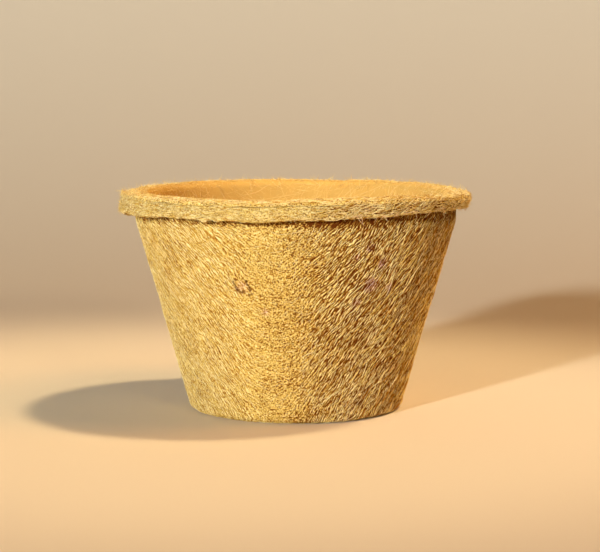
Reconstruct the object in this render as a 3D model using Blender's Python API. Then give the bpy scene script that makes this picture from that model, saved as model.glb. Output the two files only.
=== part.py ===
"""A coir pot pressed from layers of coconut fibre felt, bonded where they lap.

Metres, +Z up. The origin is the centre of the foot ring, on the ground plane.
The front of the pot looks along -Y. Azimuth 0 is the front and +90 degrees is +X.
"""
import math

import bmesh
import bpy

# Driving sizes of the pot
POT_HEIGHT = 0.0940
FOOT_RADIUS = 0.0456
WALL_LEAN = math.radians(15.8)
NECK_LENGTH = 0.0097
MARGIN_HOLE_RADIUS = 0.0260

# Thickness of each felt, and the bond line between two layers
WALL_FELT = 0.0026
BASE_FELT = 0.0026
LINING_FELT = 0.0018
LIP_FELT = 0.0020
LIP_EDGE = 0.0014
BOND_LINE = 0.0003

# Collar strip round the mouth
COLLAR_FELT = 0.0059
COLLAR_HEIGHT = 0.0074
COLLAR_UNDERCUT = 0.0014
COLLAR_TOP_ROUNDING = 0.0007
COLLAR_FOOT_ROUNDING = 0.0012
LIP_SETBACK = 0.0002

# Roundings
FOOT_ROUNDING = 0.0050
NECK_ROUNDING = 0.0120
LINING_CORNER = 0.0048
CROWN_ROUNDING = 0.0036
CUT_EDGE_ROUNDING = 0.0006
DISC_EDGE_ROUNDING = 0.0008

# Hand-made unevenness of the rim: waves per turn, height, azimuth of a crest in degrees
CROWN_WAVES = ((2, 0.00040, 13.0), (3, 0.00024, 29.0), (4, 0.00034, 34.0))
COLLAR_FOOT_WAVES = ((1, 0.00110, 66.0), (2, 0.00100, 25.0), (3, 0.00140, -45.0))
SWAY_DEPTH = 0.0250
COLLAR_LEAN = -0.0013
COLLAR_LEAN_SWING = -0.0024

# Fineness of the turned meshes
TURN_STEPS = 64
SWAY_LEVELS = 4
SHARP_ANGLE = math.radians(40.0)
WELD_DISTANCE = 1e-6

# Sizes that follow from those above
MOUTH_TOP = POT_HEIGHT - LIP_FELT - BOND_LINE
NECK_BASE = MOUTH_TOP - NECK_LENGTH
NECK_RADIUS = FOOT_RADIUS + NECK_BASE * math.tan(WALL_LEAN)
COLLAR_BORE = NECK_RADIUS + BOND_LINE
COLLAR_RADIUS = COLLAR_BORE + COLLAR_FELT
LIP_RADIUS = COLLAR_RADIUS - LIP_SETBACK
DISC_LEVEL = WALL_FELT + BOND_LINE
LINING_LEVEL = DISC_LEVEL + BASE_FELT + BOND_LINE
LINING_DEPTH = WALL_FELT + BOND_LINE


def clear_scene():
    for thing in list(bpy.data.objects):
        bpy.data.objects.remove(thing, do_unlink=True)


def arc(centre, radius, first_angle, last_angle, steps):
    """Points (radius, height) along an arc, with the angles measured from the outward level."""
    points = []
    for step in range(steps + 1):
        angle = first_angle + (last_angle - first_angle) * step / steps
        points.append((centre[0] + radius * math.cos(angle), centre[1] + radius * math.sin(angle)))
    return points


def cone_radius(height, depth):
    """Radius of the lean wall at a height, at a depth measured square into the felt."""
    return FOOT_RADIUS + height * math.tan(WALL_LEAN) - depth / math.cos(WALL_LEAN)


def foot_centre(floor, depth, rounding):
    """Centre of the fillet between a level floor and the wall line at a depth."""
    height = floor + rounding
    return (cone_radius(height, depth + rounding), height)


def wall_line(floor, depth, rounding):
    """One surface of the wall, from its floor up the lean cone to the upright neck."""
    foot = foot_centre(floor, depth, rounding)
    points = arc(foot, rounding, -math.pi / 2, -WALL_LEAN, 4)
    for level in range(SWAY_LEVELS):
        height = NECK_BASE - SWAY_DEPTH * (1.0 - level / SWAY_LEVELS)
        points.append((cone_radius(height, depth), height))
    neck = (NECK_RADIUS - NECK_ROUNDING, NECK_BASE + NECK_ROUNDING * math.tan(WALL_LEAN / 2))
    points += arc(neck, NECK_ROUNDING - depth, -WALL_LEAN, 0.0, 2)
    return points


def rounded_corner(corner, rounding, first_angle, steps):
    """A square corner of a section replaced by a quarter arc that starts at first_angle."""
    middle_angle = first_angle + math.pi / 4
    reach = rounding * math.sqrt(2.0)
    centre = (corner[0] - reach * math.cos(middle_angle), corner[1] - reach * math.sin(middle_angle))
    return arc(centre, rounding, first_angle, first_angle + math.pi / 2, steps)


def rim_waves(waves, azimuth):
    """Height of a set of waves round the rim."""
    return sum(height * math.cos(count * (azimuth - math.radians(crest))) for count, height, crest in waves)


def azimuth_of(point):
    return math.atan2(point.x, -point.y)


def sway_with_rim(point):
    """The shared unevenness of the mouth, which fades out down the wall."""
    rise = (point.z - (NECK_BASE - SWAY_DEPTH)) / SWAY_DEPTH
    rise = min(max(rise, 0.0), 1.0)
    share = rise * rise * (3.0 - 2.0 * rise)
    point.z += rim_waves(CROWN_WAVES, azimuth_of(point)) * share


def shape_collar(point):
    """The strip's own unevenness: a foot that rises and falls, and a face that leans."""
    azimuth = azimuth_of(point)
    radius = math.hypot(point.x, point.y)
    below_top = (MOUTH_TOP - point.z) / COLLAR_HEIGHT
    outward = (radius - COLLAR_BORE) / COLLAR_FELT
    lean = COLLAR_LEAN + COLLAR_LEAN_SWING * math.sin(azimuth)
    new_radius = radius + lean * below_top * outward
    point.x *= new_radius / radius
    point.y *= new_radius / radius
    point.z += rim_waves(COLLAR_FOOT_WAVES, azimuth) * below_top


def felt_material(name, colour, roughness):
    material = bpy.data.materials.new(name)
    material.use_nodes = True
    shader = material.node_tree.nodes["Principled BSDF"]
    shader.inputs["Base Color"].default_value = (*colour, 1.0)
    shader.inputs["Roughness"].default_value = roughness
    shader.inputs["Metallic"].default_value = 0.0
    material.diffuse_color = (*colour, 1.0)
    return material


def turned_piece(name, section, closed, material, shapers=()):
    """Spin a section of (radius, height) points once round Z and shape the mesh."""
    mesh = bpy.data.meshes.new(name)
    shape = bmesh.new()
    corners = [shape.verts.new((radius, 0.0, height)) for radius, height in section]
    edges = [shape.edges.new(pair) for pair in zip(corners, corners[1:])]
    if closed:
        edges.append(shape.edges.new((corners[-1], corners[0])))
    bmesh.ops.spin(
        shape,
        geom=corners + edges,
        cent=(0.0, 0.0, 0.0),
        axis=(0.0, 0.0, 1.0),
        angle=math.tau,
        steps=TURN_STEPS,
        use_merge=True,
    )
    bmesh.ops.remove_doubles(shape, verts=shape.verts, dist=WELD_DISTANCE)
    bmesh.ops.recalc_face_normals(shape, faces=shape.faces)
    for shaper in shapers:
        for corner in shape.verts:
            shaper(corner.co)
    shape.to_mesh(mesh)
    shape.free()
    mesh.shade_smooth()
    mesh.set_sharp_from_angle(angle=SHARP_ANGLE)
    mesh.materials.append(material)
    piece = bpy.data.objects.new(name, mesh)
    bpy.context.collection.objects.link(piece)
    return piece


def make_outer_wall():
    """The drawn felt: a margin turned in under the pot, the lean cone and the upright neck."""
    section = rounded_corner((MARGIN_HOLE_RADIUS, 0.0), CUT_EDGE_ROUNDING, math.pi, 2)
    section += wall_line(0.0, 0.0, FOOT_ROUNDING)
    section += rounded_corner((NECK_RADIUS, MOUTH_TOP), CUT_EDGE_ROUNDING, 0.0, 2)
    section += rounded_corner((NECK_RADIUS - WALL_FELT, MOUTH_TOP), CUT_EDGE_ROUNDING, math.pi / 2, 2)
    section += reversed(wall_line(WALL_FELT, WALL_FELT, FOOT_ROUNDING - WALL_FELT))
    section += rounded_corner((MARGIN_HOLE_RADIUS, WALL_FELT), CUT_EDGE_ROUNDING, math.pi / 2, 2)
    felt = felt_material("coir_outer_felt", (0.60, 0.40, 0.17), 0.90)
    return turned_piece("outer_wall", section, True, felt, (sway_with_rim,))


def make_base_disc():
    """The felt disc that closes the floor. It lies on the turned-in margin."""
    radius = foot_centre(0.0, 0.0, FOOT_ROUNDING)[0]
    section = [(0.0, 0.0)]
    section += rounded_corner((radius, 0.0), DISC_EDGE_ROUNDING, -math.pi / 2, 2)
    section += rounded_corner((radius, BASE_FELT), DISC_EDGE_ROUNDING, 0.0, 2)
    section.append((0.0, BASE_FELT))
    felt = felt_material("coir_base_felt", (0.52, 0.34, 0.15), 0.92)
    disc = turned_piece("base_disc", section, False, felt)
    disc.location.z = DISC_LEVEL
    return disc


def make_inner_liner():
    """The inner felt cup, with its edge turned out over the mouth as a thin lip."""
    lip_floor = MOUTH_TOP + BOND_LINE
    inner_depth = LINING_DEPTH + LINING_FELT
    throat = NECK_RADIUS - inner_depth
    section = [(0.0, LINING_LEVEL)]
    section += wall_line(LINING_LEVEL, LINING_DEPTH, LINING_CORNER)
    section.append((NECK_RADIUS - LINING_DEPTH, lip_floor))
    edge_centre = (LIP_RADIUS - LIP_EDGE / 2, lip_floor + LIP_EDGE / 2)
    section += arc(edge_centre, LIP_EDGE / 2, -math.pi / 2, math.pi / 2, 4)
    crown_centre = (throat + CROWN_ROUNDING, POT_HEIGHT - CROWN_ROUNDING)
    section += arc(crown_centre, CROWN_ROUNDING, math.pi / 2, math.pi, 4)
    section += reversed(wall_line(LINING_LEVEL + LINING_FELT, inner_depth, LINING_CORNER - LINING_FELT))
    section.append((0.0, LINING_LEVEL + LINING_FELT))
    felt = felt_material("coir_inner_felt", (0.56, 0.37, 0.16), 0.92)
    return turned_piece("inner_liner", section, False, felt, (sway_with_rim,))


def make_rim_collar():
    """The thick strip of felt bonded round the neck, under the lip."""
    foot = MOUTH_TOP - COLLAR_HEIGHT
    section = rounded_corner((COLLAR_BORE, foot), CUT_EDGE_ROUNDING, math.pi, 2)
    section += rounded_corner((COLLAR_RADIUS, foot + COLLAR_UNDERCUT), COLLAR_FOOT_ROUNDING, -math.pi / 2, 4)
    section += rounded_corner((COLLAR_RADIUS, MOUTH_TOP), COLLAR_TOP_ROUNDING, 0.0, 3)
    section += rounded_corner((COLLAR_BORE, MOUTH_TOP), CUT_EDGE_ROUNDING, math.pi / 2, 2)
    felt = felt_material("coir_collar_felt", (0.66, 0.46, 0.21), 0.90)
    return turned_piece("rim_collar", section, True, felt, (shape_collar, sway_with_rim))


def main():
    clear_scene()
    pot = bpy.data.objects.new("coir_pot", None)
    bpy.context.collection.objects.link(pot)
    for piece in (make_outer_wall(), make_base_disc(), make_inner_liner(), make_rim_collar()):
        piece.parent = pot


main()
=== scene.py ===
import math
from typing import Callable, NamedTuple

import bpy
import numpy as np
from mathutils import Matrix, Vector


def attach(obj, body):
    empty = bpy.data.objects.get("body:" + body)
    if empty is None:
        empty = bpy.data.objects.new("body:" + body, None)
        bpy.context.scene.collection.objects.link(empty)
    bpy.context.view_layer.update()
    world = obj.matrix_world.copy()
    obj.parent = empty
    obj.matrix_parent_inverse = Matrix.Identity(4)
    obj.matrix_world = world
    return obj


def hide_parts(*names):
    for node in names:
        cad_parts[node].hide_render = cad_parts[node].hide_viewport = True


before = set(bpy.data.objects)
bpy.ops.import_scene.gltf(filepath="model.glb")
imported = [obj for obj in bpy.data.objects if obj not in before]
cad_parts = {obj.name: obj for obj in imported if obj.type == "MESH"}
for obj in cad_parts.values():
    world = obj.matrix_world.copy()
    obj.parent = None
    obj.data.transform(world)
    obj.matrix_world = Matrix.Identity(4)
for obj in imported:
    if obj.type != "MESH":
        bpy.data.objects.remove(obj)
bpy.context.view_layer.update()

# Sizes of the pot in metres, as the solid model has them
POT_HEIGHT = 0.0940
FOOT_RADIUS = 0.0456
WALL_LEAN = math.radians(15.8)
NECK_LENGTH = 0.0097
MARGIN_HOLE_RADIUS = 0.0260
WALL_FELT = 0.0026
BASE_FELT = 0.0026
LINING_FELT = 0.0018
LIP_FELT = 0.0020
LIP_EDGE = 0.0014
BOND_LINE = 0.0003
COLLAR_FELT = 0.0059
COLLAR_HEIGHT = 0.0074
COLLAR_UNDERCUT = 0.0014
COLLAR_TOP_ROUNDING = 0.0007
COLLAR_FOOT_ROUNDING = 0.0012
LIP_SETBACK = 0.0002
FOOT_ROUNDING = 0.0050
NECK_ROUNDING = 0.0120
LINING_CORNER = 0.0048
CROWN_ROUNDING = 0.0036
CUT_EDGE_ROUNDING = 0.0006
DISC_EDGE_ROUNDING = 0.0008

# Unevenness of the rim: waves per turn, height, azimuth of a crest in degrees
CROWN_WAVES = ((2, 0.00040, 13.0), (3, 0.00024, 29.0), (4, 0.00034, 34.0))
COLLAR_FOOT_WAVES = ((1, 0.00110, 66.0), (2, 0.00100, 25.0), (3, 0.00140, -45.0))
SWAY_DEPTH = 0.0250
COLLAR_LEAN = -0.0013
COLLAR_LEAN_SWING = -0.0024

MOUTH_TOP = POT_HEIGHT - LIP_FELT - BOND_LINE
NECK_BASE = MOUTH_TOP - NECK_LENGTH
NECK_RADIUS = FOOT_RADIUS + NECK_BASE * math.tan(WALL_LEAN)
COLLAR_BORE = NECK_RADIUS + BOND_LINE
COLLAR_RADIUS = COLLAR_BORE + COLLAR_FELT
COLLAR_FOOT = MOUTH_TOP - COLLAR_HEIGHT
LIP_RADIUS = COLLAR_RADIUS - LIP_SETBACK
LIP_FLOOR = MOUTH_TOP + BOND_LINE
DISC_LEVEL = WALL_FELT + BOND_LINE
LINING_LEVEL = DISC_LEVEL + BASE_FELT + BOND_LINE
LINING_DEPTH = WALL_FELT + BOND_LINE
THROAT_RADIUS = NECK_RADIUS - LINING_DEPTH - LINING_FELT

MM = 0.001
ARC_STEPS = 12
MEETING_EDGE = 0.2 * MM
UNDERSIDE_LIFT = 0.9 * MM

# The wall's radius about half way up, where cells of noise are measured
MEAN_RADIUS = 1.25 * FOOT_RADIUS
LUMP_ROWS = 61


def smooth_step(share):
    share = np.clip(share, 0.0, 1.0)
    return share * share * (3.0 - 2.0 * share)


def window(azimuth, middle, reach, fade):
    """1 within reach of an azimuth, falling to 0 over fade. All in degrees but the first."""
    gap = np.abs((azimuth - math.radians(middle) + math.pi) % math.tau - math.pi)
    return 1.0 - smooth_step((gap - math.radians(reach)) / math.radians(fade))


def lumps(seed, azimuth, along, cell):
    """Smooth random heights from -1 to 1 on cells of a given size, closed round the pot."""
    across = max(int(round(math.tau * MEAN_RADIUS / cell)), 3)
    values = np.random.default_rng(seed).uniform(-1.0, 1.0, (LUMP_ROWS, across))
    column = np.asarray(azimuth) / math.tau * across
    row = np.asarray(along) / cell
    left = np.floor(column).astype(int)
    low = np.floor(row).astype(int)
    sideways = smooth_step(column - left)
    upward = smooth_step(row - low)

    def between(line):
        near = values[line % LUMP_ROWS, left % across] * (1 - sideways)
        return near + values[line % LUMP_ROWS, (left + 1) % across] * sideways

    return between(low) * (1 - upward) + between(low + 1) * upward


# Sections of the turned layers


def arc(centre, radius, first_angle, last_angle, steps=ARC_STEPS):
    angles = np.linspace(first_angle, last_angle, steps + 1)
    return [(centre[0] + radius * math.cos(a), centre[1] + radius * math.sin(a)) for a in angles]


def rounded_corner(corner, rounding, first_angle):
    middle = first_angle + math.pi / 4
    reach = rounding * math.sqrt(2.0)
    centre = (corner[0] - reach * math.cos(middle), corner[1] - reach * math.sin(middle))
    return arc(centre, rounding, first_angle, first_angle + math.pi / 2, 6)


def cone_radius(height, depth):
    return FOOT_RADIUS + height * math.tan(WALL_LEAN) - depth / math.cos(WALL_LEAN)


def foot_centre(floor, depth, rounding):
    height = floor + rounding
    return (cone_radius(height, depth + rounding), height)


def wall_line(floor, depth, rounding):
    """One surface of the wall, from its floor up the lean cone to the upright neck."""
    points = arc(foot_centre(floor, depth, rounding), rounding, -math.pi / 2, -WALL_LEAN)
    neck = (NECK_RADIUS - NECK_ROUNDING, NECK_BASE + NECK_ROUNDING * math.tan(WALL_LEAN / 2))
    return points + arc(neck, NECK_ROUNDING - depth, -WALL_LEAN, 0.0)


def mouth_line():
    """The outer edge of the lip, then the rounded inner edge of the mouth, down into the throat."""
    points = arc((LIP_RADIUS - LIP_EDGE / 2, LIP_FLOOR + LIP_EDGE / 2), LIP_EDGE / 2, 0.0, math.pi / 2)
    centre = (THROAT_RADIUS + CROWN_ROUNDING, POT_HEIGHT - CROWN_ROUNDING)
    return points + arc(centre, CROWN_ROUNDING, math.pi / 2, math.pi)


def collar_toe():
    """The rounded lower outer edge of the collar."""
    corner = (COLLAR_RADIUS, COLLAR_FOOT + COLLAR_UNDERCUT)
    return rounded_corner(corner, COLLAR_FOOT_ROUNDING, -math.pi / 2)


class Section:
    """A line of (radius, height) points that is turned round the pot, read by the distance along it."""

    def __init__(self, points):
        points = np.array(points)
        steps = np.linalg.norm(np.diff(points, axis=0), axis=1)
        points = points[np.concatenate([[True], steps > 1e-7])]
        distance = np.concatenate([[0.0], np.cumsum(np.linalg.norm(np.diff(points, axis=0), axis=1))])
        self.length = distance[-1]
        self.distance = np.linspace(0.0, self.length, int(self.length / (0.1 * MM)))
        self.radius = np.interp(self.distance, distance, points[:, 0])
        self.height = np.interp(self.distance, distance, points[:, 1])
        along_radius = np.gradient(self.radius, self.distance)
        along_height = np.gradient(self.height, self.distance)
        size = np.hypot(along_radius, along_height)
        self.out_radius = along_height / size
        self.out_height = -along_radius / size

    def read(self, along):
        return [np.interp(along, self.distance, line)
                for line in (self.radius, self.height, self.out_radius, self.out_height)]

    def distance_at(self, radius, height):
        """How far along the line its nearest point to a (radius, height) point is."""
        gap = np.hypot(self.radius - radius, self.height - height)
        return self.distance[int(np.argmin(gap))]

    def scatter(self, draws, first, last, count):
        """Distances from first to last, spread evenly over the turned surface."""
        places = np.linspace(first, last, 400)
        share = np.cumsum(self.read(places)[0] + MM)
        return np.interp(draws.uniform(0.0, share[-1], count), share, places)


def wall_section():
    points = rounded_corner((MARGIN_HOLE_RADIUS, 0.0), CUT_EDGE_ROUNDING, math.pi)
    points += wall_line(0.0, 0.0, FOOT_ROUNDING)
    points += rounded_corner((NECK_RADIUS, MOUTH_TOP), CUT_EDGE_ROUNDING, 0.0)
    points += rounded_corner((NECK_RADIUS - WALL_FELT, MOUTH_TOP), CUT_EDGE_ROUNDING, math.pi / 2)
    points += reversed(wall_line(WALL_FELT, WALL_FELT, FOOT_ROUNDING - WALL_FELT))
    points += rounded_corner((MARGIN_HOLE_RADIUS, WALL_FELT), CUT_EDGE_ROUNDING, math.pi / 2)
    return Section(points + points[:1])


def base_section():
    radius = foot_centre(0.0, 0.0, FOOT_ROUNDING)[0]
    points = [(0.0, DISC_LEVEL)]
    points += rounded_corner((radius, DISC_LEVEL), DISC_EDGE_ROUNDING, -math.pi / 2)
    points += rounded_corner((radius, DISC_LEVEL + BASE_FELT), DISC_EDGE_ROUNDING, 0.0)
    return Section(points + [(0.0, DISC_LEVEL + BASE_FELT)])


def lining_section():
    points = [(0.0, LINING_LEVEL)]
    points += wall_line(LINING_LEVEL, LINING_DEPTH, LINING_CORNER)
    points.append((NECK_RADIUS - LINING_DEPTH, LIP_FLOOR))
    points += rounded_corner((LIP_RADIUS, MOUTH_TOP), MEETING_EDGE, -math.pi / 2)
    points += mouth_line()
    inner_depth = LINING_DEPTH + LINING_FELT
    points += reversed(wall_line(LINING_LEVEL + LINING_FELT, inner_depth, LINING_CORNER - LINING_FELT))
    return Section(points + [(0.0, LINING_LEVEL + LINING_FELT)])


def collar_section():
    points = rounded_corner((COLLAR_BORE, COLLAR_FOOT + UNDERSIDE_LIFT), CUT_EDGE_ROUNDING, math.pi)
    points += collar_toe()
    points += rounded_corner((COLLAR_RADIUS, MOUTH_TOP), MEETING_EDGE, 0.0)
    points += rounded_corner((COLLAR_BORE, MOUTH_TOP), CUT_EDGE_ROUNDING, math.pi / 2)
    return Section(points + points[:1])


def rim_section():
    """The face of the collar and the lip over it as one line, for the strands that mat over both."""
    points = [(COLLAR_BORE + CUT_EDGE_ROUNDING, COLLAR_FOOT + UNDERSIDE_LIFT)]
    points += collar_toe()
    points.append((COLLAR_RADIUS, MOUTH_TOP))
    points += mouth_line()
    return Section(points + [(THROAT_RADIUS, NECK_BASE)])


# Unevenness that the layers share, so that they stay against each other

DENT_DEPTH = 0.30 * MM
DENT_SPAN = 28 * MM
DENT_FADE = 20 * MM
FLUTTER = 0.30 * MM
FLUTTER_SPAN = 9 * MM
RAG = 0.80 * MM
FLARE = 1.6 * MM
NUB = 1.6 * MM
FACE_BULGE = 1.9


def rim_waves(waves, azimuth):
    return sum(height * np.cos(count * (azimuth - math.radians(crest))) for count, height, crest in waves)


def turned_places(points):
    """The azimuth, radius and height of points."""
    x, y, height = np.moveaxis(points, -1, 0)
    return np.arctan2(x, -y), np.hypot(x, y), height


def moved(points, scale, rise):
    """Points moved out from the axis by a scale, and up."""
    x, y, height = np.moveaxis(points, -1, 0)
    return np.stack([x * scale, y * scale, height + rise], axis=-1)


def shape_pot(points):
    """Moves points with the dents of the wall and the sway of the mouth."""
    azimuth, radius, height = turned_places(points)
    share = smooth_step((height - (NECK_BASE - SWAY_DEPTH)) / SWAY_DEPTH)
    above_foot = smooth_step((height - FOOT_ROUNDING) / DENT_FADE)
    dent = DENT_DEPTH * lumps(3, azimuth, height, DENT_SPAN) * above_foot
    flutter = FLUTTER * lumps(4, azimuth, 0.0, FLUTTER_SPAN)
    scale = 1.0 + dent * (1.0 - 0.5 * share) / np.maximum(radius, 10 * MM)
    return moved(points, scale, (rim_waves(CROWN_WAVES, azimuth) + flutter) * share)


def shape_rim(points):
    """The collar's own unevenness: a ragged foot that rises and falls, and a face that leans."""
    azimuth, radius, height = turned_places(points)
    below_top = np.maximum(MOUTH_TOP - height, 0.0) / COLLAR_HEIGHT
    outward = np.clip((radius - COLLAR_BORE) / COLLAR_FELT, 0.0, None)
    lean = COLLAR_LEAN + COLLAR_LEAN_SWING * np.sin(azimuth)
    scale = 1.0 + lean * below_top ** FACE_BULGE * outward / radius
    rag = 0.40 * lumps(5, azimuth, 0.0, 5 * MM) + 0.34 * lumps(6, azimuth, 0.0, 1.8 * MM)
    rag = RAG * (rag + 0.26 * lumps(7, azimuth, 0.0, 0.9 * MM))
    flare = FLARE * window(azimuth, -92.0, 16.0, 16.0) * outward - NUB * window(azimuth, -29.2, 0.5, 1.1)
    rise = (rim_waves(COLLAR_FOOT_WAVES, azimuth) + (rag + flare) * outward) * below_top
    return shape_pot(moved(points, scale, rise))


def place(section, along, azimuth, lift, shape):
    """Points on a turned section, lifted off its surface, and the way out of the surface there."""
    radius, height, out_radius, out_height = section.read(along)
    across = np.stack([np.sin(azimuth), -np.cos(azimuth)], axis=-1)
    flat = across * (radius + lift * out_radius)[..., None]
    points = np.concatenate([flat, (height + lift * out_height)[..., None]], axis=-1)
    outward = np.concatenate([across * out_radius[..., None], out_height[..., None]], axis=-1)
    return shape(points), outward


# Meshes from arrays


def build_mesh(name, points, faces, corners_uv, tone=None):
    """A smooth mesh with its own map, from points, face arrays and the map place of each face corner."""
    points[:, 2] = np.maximum(points[:, 2], 0.0)
    mesh = bpy.data.meshes.new(name)
    mesh.vertices.add(len(points))
    mesh.vertices.foreach_set("co", points.astype(np.float32).ravel())
    sizes = np.concatenate([np.full(len(group), group.shape[1]) for group in faces])
    corners = np.concatenate([group.ravel() for group in faces])
    mesh.loops.add(len(corners))
    mesh.loops.foreach_set("vertex_index", corners.astype(np.int32))
    mesh.polygons.add(len(sizes))
    mesh.polygons.foreach_set("loop_start", np.concatenate([[0], np.cumsum(sizes)[:-1]]).astype(np.int32))
    mesh.update(calc_edges=True)
    layout = mesh.uv_layers.new(name="OFBake")
    layout.uv.foreach_set("vector", np.concatenate(corners_uv).astype(np.float32).ravel())
    if tone is not None:
        carried = mesh.attributes.new("tone", "FLOAT", "POINT")
        carried.data.foreach_set("value", tone.astype(np.float32).ravel())
    mesh.shade_smooth()
    return mesh


def add_piece(name, mesh, material, node=None):
    mesh.materials.append(material)
    piece = bpy.data.objects.new(name, mesh)
    bpy.context.scene.collection.objects.link(piece)
    if node:
        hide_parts(node)
    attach(piece, "root")
    return piece


def grid_faces(rows, columns, closed):
    """Quads of a grid that closes round the pot, and also row to row where closed is true."""
    row, column = np.meshgrid(np.arange(rows if closed else rows - 1), np.arange(columns), indexing="ij")
    row = row.ravel()
    column = column.ravel()
    after_row = (row + 1) % rows
    after_column = (column + 1) % columns
    quads = np.stack([row * columns + column, row * columns + after_column,
                      after_row * columns + after_column, after_row * columns + column], axis=1)
    left = column / columns
    right = (column + 1) / columns
    low = row / rows
    high = (row + 1) / rows
    places = np.stack([left, low, right, low, right, high, left, high], axis=1).reshape(-1, 2)
    return quads, places


def felt_rows(section, fine_ranges, fine, coarse):
    """Distances along a section for the rows of its mesh, closer together in the ranges that show."""
    rows = [0.0]
    while rows[-1] < section.length:
        shown = any(first <= rows[-1] < last for first, last in fine_ranges)
        rows.append(rows[-1] + (fine if shown else coarse))
    rows = np.array(rows)
    return rows * section.length / rows[-1]


def felt_mesh(name, section, rows, columns, relief, shape, closed, crease_shade=None):
    """The felt of one layer: its turned section with the relief of matted fibre.

    columns is the number of steps round the pot. Painted shade, where it is given, is carried as the tone of
    its points."""
    rows = rows[:-1] if closed else rows[1:-1]
    along, azimuth = np.meshgrid(rows, np.arange(columns) / columns * math.tau - math.pi, indexing="ij")
    points, _ = place(section, along, azimuth, relief(azimuth, along), shape)
    points = points.reshape(-1, 3)
    tone = crease_shade(azimuth, along) if crease_shade else None
    quads, places = grid_faces(len(rows), columns, closed)
    faces = [quads]
    maps = [places]
    if not closed:
        ring = np.arange(columns)
        after = (ring + 1) % columns
        for end, height in ((0, section.height[0]), (len(rows) - 1, section.height[-1])):
            pole = np.full(columns, len(points))
            points = np.concatenate([points, [[0.0, 0.0, height]]])
            first, second = (after, ring) if end == 0 else (ring, after)
            faces.append(np.stack([end * columns + first, end * columns + second, pole], axis=1))
            level = 0 * ring + end / len(rows)
            fan = [first / columns, level, second / columns, level,
                   (ring + 0.5) / columns, level + 0.5 / len(rows)]
            maps.append(np.stack(fan, axis=1).reshape(-1, 2))
    return build_mesh(name, points, faces, maps, tone)


# Strands

STRAND_SIDES = 3
MOST_TRIANGLES = 190000
MAP_COLUMNS = 8
STRIP_LEFT = 0.02
STRIP_LOW = 0.15
STRIP_WIDTH = 0.96
STRIP_HEIGHT = 0.70


def unit_cross(vectors, others):
    side = np.cross(vectors, others)
    return side / np.maximum(np.linalg.norm(side, axis=-1, keepdims=True), 1e-12)


def strand_map(strands, knots):
    """Map places of a batch of tubes: each has its own strip, the strips in columns."""
    rows = math.ceil(strands / MAP_COLUMNS)
    cell = np.arange(strands)
    left = (cell % MAP_COLUMNS + STRIP_LEFT)[:, None, None] / MAP_COLUMNS
    low = (cell // MAP_COLUMNS + STRIP_LOW)[:, None, None] / rows
    across = STRIP_WIDTH / MAP_COLUMNS / (knots - 1)
    tall = STRIP_HEIGHT / rows / STRAND_SIDES
    knot = np.arange(knots - 1)[None, :, None]
    strip = np.arange(STRAND_SIDES)[None, None, :]
    near = left + knot * across + 0 * strip
    far = near + across
    bottom = low + strip * tall + 0 * knot
    top = bottom + tall
    sides = np.stack([near, bottom, far, bottom, far, top, near, top], axis=-1).reshape(-1, 2)
    corner = np.arange(STRAND_SIDES)[None, :]
    rise = low[:, 0] + (corner % 2 + 0.5) * tall
    start = np.stack([left[:, 0] + corner * across / STRAND_SIDES, rise], axis=-1).reshape(-1, 2)
    last = left[:, 0] + STRIP_WIDTH / MAP_COLUMNS - corner * across / STRAND_SIDES
    end = np.stack([last, rise], axis=-1).reshape(-1, 2)
    return [sides, start, end]


def strand_mesh(name, lines, outward, widths, tone):
    """Thin closed tubes along lines of points: arrays of strand, knot and coordinate."""
    strands, knots, _ = lines.shape
    lines[..., 2] = np.maximum(lines[..., 2], 0.6 * widths)
    heading = np.gradient(lines, axis=1)
    heading /= np.maximum(np.linalg.norm(heading, axis=-1, keepdims=True), 1e-12)
    side = unit_cross(heading, outward)
    up = unit_cross(side, heading)
    turn = (np.arange(STRAND_SIDES) / STRAND_SIDES * math.tau + math.pi / 2)[None, None, :, None]
    ring = np.cos(turn) * side[:, :, None, :] + np.sin(turn) * up[:, :, None, :]
    points = (lines[:, :, None, :] + ring * widths[:, :, None, None]).reshape(-1, 3)
    number = np.arange(strands * knots * STRAND_SIDES).reshape(strands, knots, STRAND_SIDES)
    here = number[:, :-1]
    ahead = number[:, 1:]
    quads = np.stack([here, ahead, np.roll(ahead, -1, axis=2), np.roll(here, -1, axis=2)], axis=-1)
    caps = np.concatenate([number[:, 0, :], number[:, -1, ::-1]])
    faces = [quads.reshape(-1, 4), caps]
    return build_mesh(name, points, faces, strand_map(strands, knots), np.repeat(tone, STRAND_SIDES, axis=1))


class Layer(NamedTuple):
    """A layer that strands lie on: its section, shape and relief, and their finish and slot. The slot is not
    used.
    """
    section: Section
    shape: Callable
    relief: Callable
    fibre: bpy.types.Material
    slot: str


def add_strands(name, layer, lines, outward, widths, tone):
    """Adds strands as one piece, or as several numbered ones where they have many faces."""
    strands, knots, _ = lines.shape
    batches = math.ceil(strands * knots * STRAND_SIDES * 2 / MOST_TRIANGLES)
    for batch in range(batches):
        own = slice(batch, None, batches)
        own_name = f"{name}_{batch + 1}" if batches > 1 else name
        mesh = strand_mesh(own_name, lines[own], outward[own], widths[own], tone[own])
        add_piece(own_name, mesh, layer.fibre)


class Lay(NamedTuple):
    """One lay of strands. Lengths, half widths and heights over the felt are in millimetres."""
    name: str
    seed: int
    count: int
    run: tuple
    width: tuple
    level: tuple
    spread: float
    curl: float
    knots: int
    weave: float = 0.20
    tone: tuple = (0.25, 1.0)
    side_shade: float = 1.0
    choices: int = 1


KINK = 0.11
CROSSING = math.radians(8.0)
MIDDLE_TONE = 0.60
WEAVE_PITCH = (6.0 * MM, 14.0 * MM)
DARK_SHARE = 0.10
DIVE = 1.2 * MM
DIVE_SHARE = 0.16
BURIAL = 1.6
END_WIDTH = 0.45
END_SHADE = 0.30
DARK_WIDTH = 0.75
DARK_TONE = 0.35
TONE_RIPPLE = 0.08
MARGIN_SHARE = 0.6

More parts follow.
